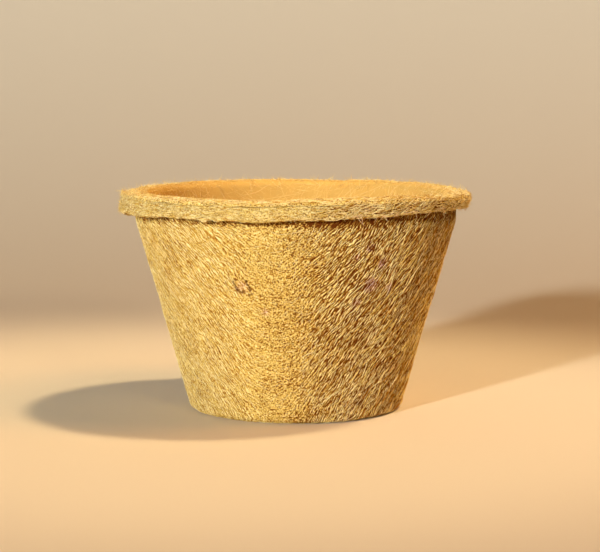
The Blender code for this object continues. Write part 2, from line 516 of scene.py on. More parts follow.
# What calm does to a strand: its value where the felt swirls, and the change where it lies drawn
CALM_LENGTH = (0.72, 0.28)
CALM_SPREAD = (1.9, -0.9)
CALM_BEND = (1.3, -0.75)
CALM_KINKS = (1.0, -0.45)


def settled_everywhere(azimuth):
    return 1.0 + 0.0 * azimuth


# The shaded side of the pot is on the right of the front, at this azimuth in degrees. It faces away from the
# key lamp, and the fibre there is painted darker and browner: painted shade.
SHADED_SIDE = 52.0


def coarseness(azimuth):
    """How thick and raised the strands are: most on the shaded side, least on the left."""
    return 1.0 + 0.08 * window(azimuth, SHADED_SIDE, 40.0, 22.0) - 0.20 * window(azimuth, -52.0, 42.0, 20.0)


def vividness(azimuth):
    """How far apart the tones of neighbouring strands are. They differ at random everywhere, and the wider
    spread on the shaded side is painted shading of the relief.
    """
    return 1.3 + 0.9 * window(azimuth, SHADED_SIDE, 34.0, 36.0)


def painted_side_shade(azimuth):
    """How much darker and browner the fibre is painted: painted shade, most on the shaded side, and least at
    the left edge, where it is painted lighter.
    """
    return 0.32 * window(azimuth, SHADED_SIDE, 10.0, 48.0) - 0.10 * window(azimuth, -74.0, 24.0, 24.0)


def by_calm(pair, calm):
    return pair[0] + pair[1] * calm


def no_crease_shade(azimuth, along):
    return 0.0 * along


CROWD_CELL = 0.3 * MM
CROWD_ROUNDS = 30


def least_crowded(section, azimuth, along, count):
    """Numbers of the strands that lie side by side: each round takes those over the barest felt."""
    across = int(math.tau * MEAN_RADIUS / CROWD_CELL)
    up = int(section.length / CROWD_CELL) + 1
    reads = np.linspace(0.0, azimuth.shape[1] - 1.001, 5 * azimuth.shape[1])
    knot = reads.astype(int)
    part = reads - knot
    azimuth = azimuth[:, knot] * (1.0 - part) + azimuth[:, knot + 1] * part
    along = along[:, knot] * (1.0 - part) + along[:, knot + 1] * part
    column = np.floor(azimuth / math.tau * across).astype(int) % across
    cell = np.clip(along / CROWD_CELL, 0, up - 1).astype(int) * across + column
    cover = np.zeros((up, across))
    left = np.arange(len(cell))
    picked = []
    for _ in range(CROWD_ROUNDS):
        crowding = cover.ravel()[cell[left]].mean(axis=1)
        order = np.argsort(crowding, kind="stable")[:count // CROWD_ROUNDS]
        picked.append(left[order])
        fresh = np.bincount(cell[picked[-1]].ravel(), minlength=up * across).reshape(up, across)
        fresh = np.minimum(fresh, 1).astype(float)
        left = np.delete(left, order)
        for axis in (0, 1, 0, 1, 0, 1):
            fresh = (np.roll(fresh, 1, axis) + fresh + np.roll(fresh, -1, axis)) / 3.0
        cover += fresh
    return np.sort(np.concatenate(picked))


def lay_strands(layer, lay, reach, flow, settled=settled_everywhere, crease_shade=no_crease_shade):
    """Lays strands on a layer. They follow the flow of the felt and dive under at both ends."""
    section = layer.section
    draws = np.random.default_rng(lay.seed)
    count = lay.count * lay.choices
    knots = lay.knots
    margin = MARGIN_SHARE * lay.run[1] * MM
    along = section.scatter(draws, reach[0] - margin, reach[1] + margin, count)
    azimuth = draws.uniform(-math.pi, math.pi, count)
    calm = settled(azimuth)
    coarse = coarseness(azimuth)
    length = draws.uniform(*lay.run, count) * MM * by_calm(CALM_LENGTH, calm)
    aside = draws.normal(0.0, lay.spread, count) * by_calm(CALM_SPREAD, calm)
    lean = draws.normal(0.0, CROSSING, count)
    bend = draws.normal(0.0, lay.curl, count) * by_calm(CALM_BEND, calm) / length
    kinks = np.cumsum(draws.normal(0.0, KINK, (count, knots)), axis=1) * by_calm(CALM_KINKS, calm)[:, None]
    backward = np.where(draws.uniform(size=count) < 0.5, math.pi, 0.0)
    step = length / (knots - 1)
    track = np.empty((count, knots, 2))
    for knot in range(knots):
        track[:, knot, 0] = azimuth
        track[:, knot, 1] = along
        angle = flow(azimuth + lean, along) + aside + backward
        angle = angle + bend * (knot * step - length / 2) + kinks[:, knot]
        azimuth = azimuth + np.cos(angle) * step / np.maximum(section.read(along)[0], 4 * MM)
        along = along + np.sin(angle) * step
    if lay.choices > 1:
        picked = least_crowded(section, track[:, :, 0], track[:, :, 1], lay.count)
        track = track[picked]
        length = length[picked]
        coarse = coarse[picked]
    count = len(track)
    azimuth = track[:, :, 0]
    along = track[:, :, 1]
    share = np.linspace(0.0, 1.0, knots)[None, :]
    half_width = (draws.uniform(*lay.width, count) * coarse)[:, None] * MM
    level = (draws.uniform(*lay.level, count) * coarse)[:, None] * MM
    turns = (length / draws.uniform(*WEAVE_PITCH, count))[:, None]
    start = draws.uniform(0.0, math.tau, count)[:, None]
    waves = np.sin(start + share * math.tau * turns)
    shown = smooth_step(np.minimum(share, 1.0 - share) / DIVE_SHARE)
    shown = shown * smooth_step((along - reach[0]) / DIVE) * smooth_step((reach[1] - along) / DIVE)
    buried = -BURIAL * half_width
    lift = layer.relief(azimuth, along) + buried + (level + lay.weave * MM * waves - buried) * shown
    lines, outward = place(section, np.clip(along, reach[0], reach[1]), azimuth, lift, layer.shape)
    dark = draws.uniform(size=count) < DARK_SHARE
    widths = half_width * (END_WIDTH + (1.0 - END_WIDTH) * shown) * np.where(dark, DARK_WIDTH, 1.0)[:, None]
    shade = draws.uniform(*lay.tone, count)
    shade = np.where(dark, shade * DARK_TONE, shade)[:, None]
    # The fibre is painted darker and browner on the shaded side, painted shade, and the tones of
    # neighbouring strands spread wider there, painted shading of the relief
    shade = MIDDLE_TONE + (shade - MIDDLE_TONE) * vividness(azimuth) - lay.side_shade * painted_side_shade(azimuth)
    shade = shade + TONE_RIPPLE * np.sin(share * 9.0 + start) - END_SHADE * (1.0 - shown)
    # The painted shade under the rim, where it is given
    shade = shade - crease_shade(azimuth, along)
    kept = shown.max(axis=1) > 0.5
    add_strands(lay.name, layer, lines[kept], outward[kept], widths[kept], np.clip(shade, 0.0, 1.0)[kept])


WISP_SINK = 0.25 * MM
WISP_TONE = (0.45, 1.0)
WISP_TURN = (0.2, 1.1)
WISP_TAPER = 0.72


def add_wisps(name, layer, seed, roots, heading, run, width, knots=7, droop=0.0):
    """Adds loose hairs that leave the surface, of lengths and half widths in millimetres.

    roots are azimuths and distances along the section, and heading is the way that the hairs start."""
    draws = np.random.default_rng(seed)
    azimuth, along = roots
    count = len(azimuth)
    lift = layer.relief(azimuth, along) - WISP_SINK
    base, outward = place(layer.section, along, azimuth, lift, layer.shape)
    round_pot = np.stack([np.cos(azimuth), np.sin(azimuth), 0.0 * azimuth], axis=-1)
    up_section = np.cross(outward, round_pot)
    way = heading[:, :1] * round_pot + heading[:, 1:2] * up_section + heading[:, 2:] * outward
    way /= np.linalg.norm(way, axis=-1, keepdims=True)
    length = draws.uniform(*run, count) * MM
    turning = draws.normal(0.0, 1.0, (count, 3))
    turning -= way * (turning * way).sum(-1, keepdims=True)
    turning /= np.linalg.norm(turning, axis=-1, keepdims=True)
    turning *= draws.uniform(*WISP_TURN, count)[:, None]
    turning[:, 2] -= droop
    share = np.linspace(0.0, 1.0, knots)[None, :, None]
    reach = length[:, None, None] * share
    lines = base[:, None, :] + way[:, None, :] * reach + turning[:, None, :] * reach * share * 0.5
    aside = np.broadcast_to(unit_cross(way, turning + outward * 1e-3)[:, None, :], lines.shape)
    thinning = 1.0 - WISP_TAPER * np.linspace(0.0, 1.0, knots)[None, :]
    widths = draws.uniform(*width, count)[:, None] * MM * thinning
    shade = draws.uniform(*WISP_TONE, count)[:, None] * np.ones((1, knots))
    add_strands(name, layer, lines, aside, widths, shade)


# Finishes

GLOSS = 0.05
PATCH_SCALE = 60.0
TANGLE_SCALE = 1100.0
SPECK_SCALE = 1900.0


class Wire:
    """A node's output that takes part in sums with numbers and other outputs."""

    def __init__(self, finish, socket):
        self.finish = finish
        self.socket = socket

    def __add__(self, other):
        return self.finish.maths("ADD", self, other)

    def __sub__(self, other):
        return self.finish.maths("SUBTRACT", self, other)

    def __mul__(self, other):
        return self.finish.maths("MULTIPLY", self, other)

    def __rsub__(self, other):
        return self.finish.maths("SUBTRACT", other, self)

    __radd__ = __add__
    __rmul__ = __mul__


class Finish:
    """A material, written as expressions on the outputs of its nodes."""

    def __init__(self, name):
        self.material = bpy.data.materials.new(name)
        self.material.use_nodes = True
        self.tree = self.material.node_tree
        self.tree.nodes.clear()

    def node(self, kind, settings=None, sockets=None, output=0):
        """A shader node of a kind, with its settings and the values or links of its sockets."""
        made = self.tree.nodes.new("ShaderNode" + kind)
        for key, value in (settings or {}).items():
            if key == "stops":
                set_stops(made.color_ramp, value)
            else:
                setattr(made, key, value)
        for key, value in (sockets or {}).items():
            if isinstance(value, Wire):
                self.tree.links.new(value.socket, made.inputs[key])
            else:
                made.inputs[key].default_value = value
        return Wire(self, made.outputs[output]) if made.outputs else None

    def maths(self, operation, first, second=0.0):
        return self.node("Math", {"operation": operation}, {0: first, 1: second})

    def clamp(self, value, low=0.0, high=1.0):
        return self.node("Clamp", None, {"Value": value, "Min": low, "Max": high})

    def ramp(self, value, stops):
        return self.node("ValToRGB", {"stops": stops}, {"Fac": value})

    def mix(self, share, first, second, blend="MIX"):
        settings = {"data_type": "RGBA", "blend_type": blend}
        return self.node("Mix", settings, {0: share, 6: first, 7: second}, 2)

    def noise(self, where, scale, detail=3.0, roughness=0.5, distortion=0.0):
        return self.node("TexNoise", None, {"Vector": where, "Scale": scale, "Detail": detail,
                                            "Roughness": roughness, "Distortion": distortion})

    def distance(self, where, point):
        return self.node("VectorMath", {"operation": "DISTANCE"}, {0: where, 1: point}, "Value")

    def parts(self, where):
        first = self.node("SeparateXYZ", None, {0: where})
        return [Wire(self, output) for output in first.socket.node.outputs]

    def join(self, x, y, z):
        return self.node("CombineXYZ", None, {0: x, 1: y, 2: z})

    def step(self, value, low, high):
        """0 below low, 1 above high, and smooth between them."""
        return self.node("MapRange", {"interpolation_type": "SMOOTHSTEP"},
                         {"Value": value, "From Min": low, "From Max": high})

    def mesh_tone(self):
        """The tone that the points of the mesh carry."""
        return self.node("Attribute", {"attribute_name": "tone"}, None, "Fac")

    def close(self, colour, roughness, height=None, depth=0.0, strength=1.0):
        """Ends the finish. height is its relief, of a depth in mm."""
        sockets = {"Base Color": colour, "Roughness": roughness, "Specular IOR Level": GLOSS}
        if height:
            relief = {"Strength": strength, "Distance": depth * MM, "Height": height}
            sockets["Normal"] = self.node("Bump", None, relief)
        shader = self.node("BsdfPrincipled", None, sockets)
        self.node("OutputMaterial", None, {"Surface": shader})
        return self.material


def set_stops(ramp, stops):
    while len(ramp.elements) < len(stops):
        ramp.elements.new(0.5)
    for element, (position, colour) in zip(ramp.elements, stops):
        element.position = position
        element.color = (*colour, 1.0)


UMBER = (0.13, 0.034, 0.004)
BRONZE = (0.42, 0.185, 0.027)
GOLD = (0.70, 0.47, 0.100)
STRAW = (0.85, 0.65, 0.220)
CREAM = (0.93, 0.80, 0.41)
ROSE = (0.66, 0.36, 0.17)

# Stains: how much of the felt's red, green and blue each leaves
GREY_STAIN = (0.26, 0.14, 0.08)
MAUVE_STAIN = (0.80, 0.58, 1.35)
CLAY_STAIN = (0.86, 0.74, 1.20)
BROWN_STAIN = (0.46, 0.34, 0.24)
AMBER_STAIN = (0.88, 0.70, 0.42)

# Residue left in the felt. The patches of each stain: azimuth in degrees, height and radius in mm, strength
STAINS = (
    (CLAY_STAIN, ((-20.2, 58.4, 3.2, 0.80),)),
    (GREY_STAIN, (
        (-22.5, 61.1, 0.7, 0.60), (-23.4, 60.3, 0.8, 0.75), (-23.0, 59.2, 0.8, 0.75),
        (-22.7, 58.1, 0.8, 0.75), (-22.2, 57.0, 1.1, 1.00), (-20.9, 56.3, 0.9, 0.85),
        (-19.7, 56.3, 0.9, 0.90), (-18.3, 60.6, 0.9, 1.00), (-17.8, 59.4, 0.8, 0.85),
        (-17.2, 58.3, 0.9, 0.90), (-17.1, 57.1, 1.0, 0.95), (-17.6, 55.2, 0.8, 0.90),
        (-16.4, 55.6, 0.7, 0.80), (0.3, 48.3, 1.4, 0.60), (148.0, 62.0, 2.4, 0.60),
    )),
    (MAUVE_STAIN, (
        (-11.6, 48.1, 1.9, 0.60), (22.2, 70.3, 1.7, 0.75), (26.9, 74.2, 2.2, 0.75), (33.0, 67.3, 2.6, 0.85),
        (29.3, 58.8, 3.8, 0.80), (38.2, 57.1, 2.2, 0.65), (24.1, 51.6, 2.4, 0.60), (-132.0, 44.0, 2.8, 0.60),
    )),
    (BROWN_STAIN, (
        (2.4, 46.0, 2.3, 0.55), (8.6, 45.4, 0.9, 0.90), (9.2, 43.0, 0.9, 0.90), (37.5, 14.9, 1.3, 0.85),
        (33.5, 8.1, 2.6, 0.60), (-33.0, 18.8, 2.0, 0.35), (-36.5, 20.0, 1.6, 0.30), (-58.0, 9.7, 3.0, 0.35),
        (-15.9, 9.7, 2.4, 0.35), (171.0, 31.0, 3.2, 0.45),
    )),
    (AMBER_STAIN, (
        (-62.0, 74.0, 4.5, 0.60), (-57.0, 62.0, 3.5, 0.60), (-50.0, 70.0, 2.5, 0.40), (8.0, 66.0, 5.0, 0.40),
        (18.0, 30.0, 6.0, 0.40),
    )),
)
SMALL_STAIN = 1.2


def stained(finish, where, colour):
    """The colour with the wall's stains. They fray at their edges, and the larger ones are mottled."""
    ragged = finish.noise(where, TANGLE_SCALE, 3.0, 0.6)
    mottled = finish.step(ragged, 0.30, 0.52)
    for stain, patches in STAINS:
        for azimuth, height, radius, strength in patches:
            small = radius < SMALL_STAIN
            angle = math.radians(azimuth)
            out = cone_radius(height * MM, 0.0)
            middle = (out * math.sin(angle), -out * math.cos(angle), height * MM)
            fray = (1.2 if small else 3.2) * radius * MM
            worn = finish.distance(where, middle) + (ragged - 0.5) * fray
            share = (1.0 - finish.step(worn, 0.45 * radius * MM, 1.15 * radius * MM)) * strength
            if not small:
                share = share * mottled
            colour = finish.mix(share, colour, (*stain, 1.0), "MULTIPLY")
    return colour


GRAIN_RUN = 5.0 * MM
GRAIN_SPREAD = 2.0 * MM
GRAIN_WANDER = 2.5
GRAIN_WARP = 5.0 * MM
SHEET_MIDDLE = math.radians(-8.0)
SHEET_SKEW = 0.12
SHEET_ROUNDING = 0.14
SHEET_SWIRL = 0.30
SWIRL_SCALE = 14.0
WARP_SCALE = 110.0
RISE_GAIN = 1.3
DRAWN_FROM = 0.05
DRAWN_TO = 0.45
FELT_PITCH = 0.86 * MM
WAVE_SHARE = 0.70
WORN_SHARE = 1.4
CREASE_LEVEL = 0.60
STIPPLE_MATTED = 2.8
STIPPLE_LESS = 1.1

# Two layers of grain: lean in radians, share of the pitch, seed, strength of the creases
GRAINS = ((-0.12, 1.0, 1.5, 1.0), (0.16, 1.2, 4.5, 0.8))


def felted(finish, where, slant):
    """Fibres side by side, bowed down to the middle of the front. They rise to both sides at a slant.

    1 on a fibre and 0 in the creases beside it, which the finish also paints darker: painted shade. In the
    middle they are matted and show as a stipple."""
    x, y, z = finish.parts(where)
    swirl = (finish.noise(where, SWIRL_SCALE, 2.0) - 0.5) * SHEET_SWIRL
    turn = finish.maths("ARCTAN2", x, y * -1.0) + (swirl - SHEET_MIDDLE)
    half = finish.maths("SINE", turn * 0.5)
    sideways = finish.maths("SINE", turn)
    bow = finish.maths("SQRT", half * half + SHEET_ROUNDING ** 2) * (2.0 * MEAN_RADIUS)
    warp = (finish.noise(where, WARP_SCALE, 2.0) - 0.5) * GRAIN_WARP
    up = (z - finish.maths("SQRT", x * x + y * y)) * RISE_GAIN + warp
    drawn = finish.step(finish.maths("ABSOLUTE", sideways), DRAWN_FROM, DRAWN_TO)
    height = 1.0
    for lean, pitch_share, seed, share in GRAINS:
        steepness = math.tan(slant + lean)
        aside = (up - bow * (sideways * SHEET_SKEW + steepness)) * math.cos(slant + lean)
        along = bow * (1.0 / GRAIN_RUN / math.cos(slant + lean))
        side = sideways * 1.5 + seed
        wander = finish.noise(finish.join(along, aside * (1.0 / GRAIN_SPREAD), side), 1.0, 2.0, 0.6) - 0.5
        worn = finish.noise(finish.join(along, aside * (1.0 / FELT_PITCH), side + 9.0), 1.0, 1.0, 0.5) - 0.5
        turns = aside * (1.0 / (pitch_share * FELT_PITCH)) + wander * GRAIN_WANDER
        wave = finish.maths("SINE", turns * math.tau)
        ridge = (wave * WAVE_SHARE + worn * WORN_SHARE) * (drawn * 0.8 + 0.2)
        crease_shade = 1.0 - finish.clamp(ridge + CREASE_LEVEL)
        height = finish.maths("MINIMUM", 1.0 - crease_shade * share, height)
    stipple = finish.noise(where, SPECK_SCALE, 1.0, 0.5) - 0.5
    return finish.clamp(height - 0.20 + drawn * 0.20 + stipple * (STIPPLE_MATTED - drawn * STIPPLE_LESS))


# How far the painted shading of the relief is raised on the shaded side
SHADED_SIDE_CONTRAST = 1.75
# Between these heights the painted shade of the shaded side fades by this share towards the mouth
LIGHTER_FROM = 55 * MM
LIGHTER_TO = 80 * MM
LIGHTER_BY = 0.60
PATCH_STRENGTH = 0.24
SHADE_STRENGTH = 0.8


def new_finish(name):
    """A finish, the place of a point in the object's frame, and the broad patches of paler felt."""
    finish = Finish(name)
    where = finish.node("TexCoord", None, None, "Object")
    return finish, where, finish.noise(where, PATCH_SCALE, 3.0, 0.6)


def ridged_finish(name, slant, depth, contrast, light, side_darkening=0.0, stains=False):
    """Felt whose fibres show as fine ridges with dark creases between them, of a depth in mm. The creases
    are painted darker as well as sunk: painted shade on top of the relief.

    contrast is how far apart their tones are, light the mean tone, and side_darkening how much darker the
    felt is painted on the shaded side, less so near the mouth: painted shade. The contrast is raised there
    too: painted shading of the relief. The tone of the mesh is the painted shade under the rim."""
    finish, where, patch = new_finish(name)
    height = felted(finish, where, slant)
    x, y, z = finish.parts(where)
    facing = x * math.sin(math.radians(SHADED_SIDE)) - y * math.cos(math.radians(SHADED_SIDE))
    facing = finish.maths("DIVIDE", facing, finish.maths("SQRT", x * x + y * y))
    facing = finish.clamp(facing * 1.2 - 0.2)
    side_shade = facing * facing
    darker = side_darkening - finish.step(z, LIGHTER_FROM, LIGHTER_TO) * (LIGHTER_BY * side_darkening)
    shaded = finish.mesh_tone()
    # The tone follows the ridges, so the creases are painted darker: painted shade. On the shaded side the
    # contrast is raised and the felt painted darker: painted shade.
    tone = (height - 0.5) * (side_shade * side_shade * SHADED_SIDE_CONTRAST + contrast) + light
    tone = tone + (patch - 0.5) * PATCH_STRENGTH - side_shade * darker - shaded * SHADE_STRENGTH
    colour = finish.ramp(finish.clamp(tone), WALL_STOPS)
    if stains:
        colour = stained(finish, where, colour)
    return finish.close(colour, 0.90, height, depth)


def strand_finish(name, stops, specks, stains=False):
    """Coconut fibre: each strand has its own tone, and patches of the felt are paler or browner."""
    finish, where, patch = new_finish(name)
    cloud = finish.noise(where, 320.0, 2.0, 0.6)
    colour = finish.ramp(finish.clamp(finish.mesh_tone() * 0.88 + patch * 0.14 + cloud * 0.10), stops)
    # Small dark specks of bronze on the strands
    dark_specks = finish.step(finish.noise(where, SPECK_SCALE, 1.0, 0.5), 0.53, 0.62) * specks
    colour = finish.mix(dark_specks, colour, (*BRONZE, 1.0))
    if stains:
        colour = stained(finish, where, colour)
    return finish.close(colour, 0.80)


def felt_finish(name, low, high, depth=0.4, edge=None):
    """Matted fibre between the strands, with a fine tangled relief of a depth in mm.

    edge is the mean tone of the felt where it turns out over the collar."""
    finish, where, patch = new_finish(name)
    tangle = finish.noise(where, TANGLE_SCALE, 4.0, 0.65, 1.6)
    colour = finish.mix(finish.clamp(patch * 0.3 + tangle * 0.8 - 0.05), (*low, 1.0), (*high, 1.0))
    if edge:
        flat = finish.node("VectorMath", {"operation": "MULTIPLY"}, {0: where, 1: (1.0, 1.0, 0.0)})
        outer = finish.step(finish.distance(flat, (0.0, 0.0, 0.0)), LIP_RADIUS - 4 * MM, LIP_RADIUS - 2 * MM)
        stipple = finish.noise(where, SPECK_SCALE, 1.0, 0.5) - 0.5
        colour = finish.mix(outer, colour, finish.ramp(finish.clamp(stipple * 3.4 + edge), WALL_STOPS))
    return finish.close(colour, 0.95, tangle, depth, 0.8)


WALL_STOPS = ((0.0, UMBER), (0.14, BRONZE), (0.36, GOLD), (0.68, STRAW), (1.0, CREAM))
LINING_STOPS = ((0.0, (0.64, 0.38, 0.090)), (0.6, (0.75, 0.50, 0.160)), (1.0, (0.83, 0.62, 0.25)))
LOOSE_STOPS = ((0.0, ROSE), (0.5, (0.80, 0.53, 0.27)), (1.0, (0.90, 0.70, 0.42)))


# Layers


def layer_relief(seed, heavy, fine):
    """Height of a layer's lumps: broad ones of 12 mm and smaller ones of 4 mm."""
    def relief(azimuth, along):
        return heavy * lumps(seed, azimuth, along, 12 * MM) + fine * lumps(seed + 1, azimuth, along, 4 * MM)
    return relief


def sunk_relief(relief, section, depth, top=0.0):
    """The same lumps, set back on outer faces so that the strands there end at the solid's surface.

    The foot stays where it is, and faces that look up are set back by the share top."""
    def sunk(azimuth, along):
        _, height, out_radius, out_height = section.read(along)
        facing = np.clip(np.maximum(out_radius, top * out_height), 0.0, 1.0)
        return relief(azimuth, along) - depth * facing * smooth_step(height / FOOT_ROUNDING)
    return sunk


def rough_relief(relief, seed, depth, cell=1.1 * MM):
    """The same lumps with the roughness of the felt itself on top."""
    def rough(azimuth, along):
        return relief(azimuth, along) + depth * lumps(seed, azimuth, along, cell)
    return rough


STEEPNESS = 0.84
STEEPNESS_SWING = 0.07
UPPER_FROM = 60 * MM
UPPER_SPAN = 40 * MM
FLOW_SWIRL = 0.17
FLOW_RIPPLE = 0.11


def drawn_flow(seed):
    """Direction of the strands in a sheet drawn from a flat disc: level in front, steep at the sides."""
    def flow(azimuth, along):
        upper = smooth_step((along - UPPER_FROM) / UPPER_SPAN)
        steepness = STEEPNESS + STEEPNESS_SWING * np.sin(azimuth + 0.6)
        rise = steepness * np.tanh((9.0 - 4.0 * upper) * (np.sin(azimuth) + 0.15 + 0.08 * upper))
        broad = FLOW_SWIRL * lumps(seed, azimuth, along, 22 * MM)
        small = FLOW_RIPPLE * lumps(seed + 1, azimuth, along, 8 * MM)
        return rise + broad + small
    return flow


def drawn_settled(azimuth):
    """1 at the sides, where the sheet was drawn straight, and 0 in front and behind, where it swirls."""
    level = np.abs(np.cos(azimuth + math.radians(9.0)))
    return 1.0 - smooth_step((level - 0.88) / 0.11)


def rim_flow(seed):
    """Direction of the strands round the mouth: level, but slanted up on the right of the front."""
    def flow(azimuth, along):
        slant = 0.46 * window(azimuth, SHADED_SIDE, 26.0, 28.0) - 0.4 * window(azimuth, 170.0, 24.0, 40.0)
        broad = 0.28 * lumps(seed, azimuth, along, 6 * MM)
        small = 0.20 * lumps(seed + 1, azimuth, along, 2.5 * MM)
        return slant + broad + small
    return flow


def rim_settled(azimuth):
    """0 on the stretches of the rim where short strands stand in all directions."""
    return 1.0 - np.maximum(window(azimuth, -62.0, 24.0, 16.0), window(azimuth, 130.0, 20.0, 20.0))


# Splits in the rim: azimuth and half length in degrees, level over the seam, depth and half width in mm
SEAM_LEVEL = MOUTH_TOP + BOND_LINE / 2
SPLITS = (
    (-92.0, 12.0, -0.7, 1.30, 0.70),
    (-19.0, 8.0, 0.1, 0.34, 0.24),
    (3.0, 8.0, 0.3, 0.34, 0.24),
    (-9.0, 9.0, -1.15, 0.40, 0.24),
    (-26.0, 5.0, -1.00, 0.34, 0.24),
    (4.0, 6.0, -2.3, 0.35, 0.24),
    (118.0, 22.0, 0.0, 0.70, 0.28),
    (-150.0, 16.0, 0.0, 0.70, 0.28),
)


def split_relief(relief, section):
    """A relief with the rim's splits cut into it."""
    def with_splits(azimuth, along):
        radius, height = section.read(along)[:2]
        depth = 0.0 * azimuth
        for middle, reach, level, deep, half_width in SPLITS:
            wander = 0.16 * MM * lumps(8, azimuth, 0.0, 7 * MM)
            across = (height - SEAM_LEVEL - level * MM - wander) / (half_width * MM)
            depth = depth + deep * MM * window(azimuth, middle, reach, 4.0) * np.exp(-across * across)
        return relief(azimuth, along) - depth * (radius > LIP_RADIUS - LIP_EDGE)
    return with_splits


WALL_LAYS = (
    Lay("wall_strands_long", 31, 500, (12, 26), (0.11, 0.17), (-0.02, 0.16), 0.18, 0.30, 16,
        weave=0.06, tone=(0.30, 0.95)),
    Lay("wall_strands_main", 32, 2800, (3.5, 10), (0.12, 0.18), (-0.04, 0.18), 0.20, 0.35, 8,
        weave=0.05, tone=(0.28, 0.90), choices=3),
    Lay("wall_strands_fine", 33, 2600, (2.5, 8), (0.08, 0.12), (0.02, 0.24), 0.24, 0.40, 6,
        weave=0.04, tone=(0.45, 1.1), choices=3),
    Lay("wall_strands_top", 34, 260, (6, 15), (0.10, 0.15), (0.14, 0.30), 0.24, 0.35, 14,
        weave=0.06, tone=(0.65, 1.1)),
)
RIM_LAYS = (
    Lay("rim_strands_long", 73, 420, (8, 20), (0.12, 0.19), (0.00, 0.20), 0.20, 0.60, 14,
        weave=0.08, tone=(0.30, 0.95), side_shade=0.25),
    Lay("rim_strands_main", 74, 2800, (3, 8.5), (0.13, 0.20), (0.00, 0.26), 0.28, 0.50, 7,
        weave=0.06, tone=(0.32, 1.60), side_shade=0.1, choices=3),
    Lay("rim_strands_fine", 75, 2600, (2.0, 5.5), (0.09, 0.13), (0.06, 0.32), 0.36, 0.60, 6,
        weave=0.06, tone=(0.32, 1.45), side_shade=0.2),
)
LINING_LAYS = (
    Lay("lining_strands_long", 65, 1800, (16, 38), (0.09, 0.15), (-0.08, 0.03), 0.50, 0.70, 16,
        weave=0.07, tone=(0.2, 0.9)),
    Lay("lining_strands_short", 66, 3000, (7, 18), (0.08, 0.14), (-0.06, 0.04), 0.60, 0.80, 9,
        weave=0.06, tone=(0.3, 1.0)),
)
BASE_LAY = Lay("base_strands", 53, 1500, (8, 26), (0.14, 0.24), (0.04, 0.34), 0.60, 0.80, 14, weave=0.18)
WALL_SINK = 0.40 * MM
RIM_SINK = 0.36 * MM
LIP_SINK = 0.56 * MM
MAT_DEPTH = 0.04 * MM


def make_wall():
    section = wall_section()
    relief = sunk_relief(layer_relief(20, 0.10 * MM, 0.05 * MM), section, WALL_SINK)
    hidden_neck = section.distance_at(NECK_RADIUS, MOUTH_TOP - COLLAR_HEIGHT / 4)

    def crease_shade(azimuth, along):
        """Painted shade under the rim, deepest on the right of the front."""
        foot = COLLAR_FOOT + rim_waves(COLLAR_FOOT_WAVES, azimuth)
        deep = window(azimuth, 58.0, 36.0, 30.0)
        depth = (2.0 + 3.0 * deep) * MM
        outer = (0.45 + 1.00 * deep) * (section.read(along)[2] > 0.0)
        return outer * smooth_step((section.read(along)[1] - foot + depth) / depth)

    rows = felt_rows(section, [(0.0, hidden_neck)], 0.78 * MM, 4.0 * MM)
    mat = rough_relief(sunk_relief(relief, section, MAT_DEPTH), 22, 0.07 * MM)
    mesh = felt_mesh("outer_felt", section, rows, 520, mat, shape_pot, closed=True, crease_shade=crease_shade)
    felt = ridged_finish("wall_mat", slant=1.06, depth=0.32, contrast=0.88, light=0.52, side_darkening=0.42,
                         stains=True)
    add_piece("outer_felt", mesh, felt, "outer_wall")
    fibre = strand_finish("wall_fibre", WALL_STOPS, 0.80, stains=True)
    layer = Layer(section, shape_pot, relief, fibre, "coir_wall")
    for lay in WALL_LAYS:
        lay_strands(layer, lay, (CUT_EDGE_ROUNDING, hidden_neck), drawn_flow(40), drawn_settled, crease_shade)
    return layer, hidden_neck


def make_base():
    section = base_section()
    relief = layer_relief(50, 0.10 * MM, 0.06 * MM)
    shown = section.distance_at(MARGIN_HOLE_RADIUS + 2 * MM, DISC_LEVEL)
    rows = felt_rows(section, [(0.0, shown)], 0.8 * MM, 3.0 * MM)
    rough = rough_relief(relief, 52, 0.12 * MM)
    mesh = felt_mesh("base_felt", section, rows, 180, rough, shape_pot, closed=False)
    # The felt between the strands is painted darker than the strands: painted shade in the gaps between them
    felt = felt_finish("base_mat", (0.28, 0.13, 0.028), (0.60, 0.37, 0.09))
    add_piece("base_felt", mesh, felt, "base_disc")
    fibre = strand_finish("base_fibre", WALL_STOPS, 0.30)
    layer = Layer(section, shape_pot, relief, fibre, "coir_base")
    lay_strands(layer, BASE_LAY, (1 * MM, shown), drawn_flow(54))


def make_lining():
    section = lining_section()
    relief = layer_relief(60, 0.14 * MM, 0.06 * MM)
    lip_edge = section.distance_at(LIP_RADIUS, LIP_FLOOR + LIP_EDGE / 2)
    crown_top = section.distance_at(THROAT_RADIUS + CROWN_ROUNDING, POT_HEIGHT)
    rows = felt_rows(section, [(lip_edge - 1.2 * MM, lip_edge + 2 * MM)], 0.30 * MM, 1.4 * MM)
    set_back = sunk_relief(relief, section, LIP_SINK, 1.0)

    def lip_relief(azimuth, along):
        inside = smooth_step((along - crown_top) / (2 * MM))
        return relief(azimuth, along) * inside + set_back(azimuth, along) * (1.0 - inside)

    rough = split_relief(rough_relief(lip_relief, 62, 0.08 * MM), section)
    mesh = felt_mesh("lining_felt", section, rows, 420, rough, shape_pot, closed=False)
    felt = felt_finish("lining_mat", (0.58, 0.325, 0.070), (0.67, 0.435, 0.128), depth=0.12, edge=0.46)
    add_piece("lining_felt", mesh, felt, "inner_liner")
    fibre = strand_finish("lining_fibre", LINING_STOPS, 0.0)
    layer = Layer(section, shape_pot, relief, fibre, "coir_lining")
    for lay in LINING_LAYS:
        lay_strands(layer, lay, (crown_top, section.length - 1 * MM), drawn_flow(67))


def rim_relief():
    """The lumps that the collar and the strands on it share."""
    return layer_relief(70, 0.13 * MM, 0.10 * MM)


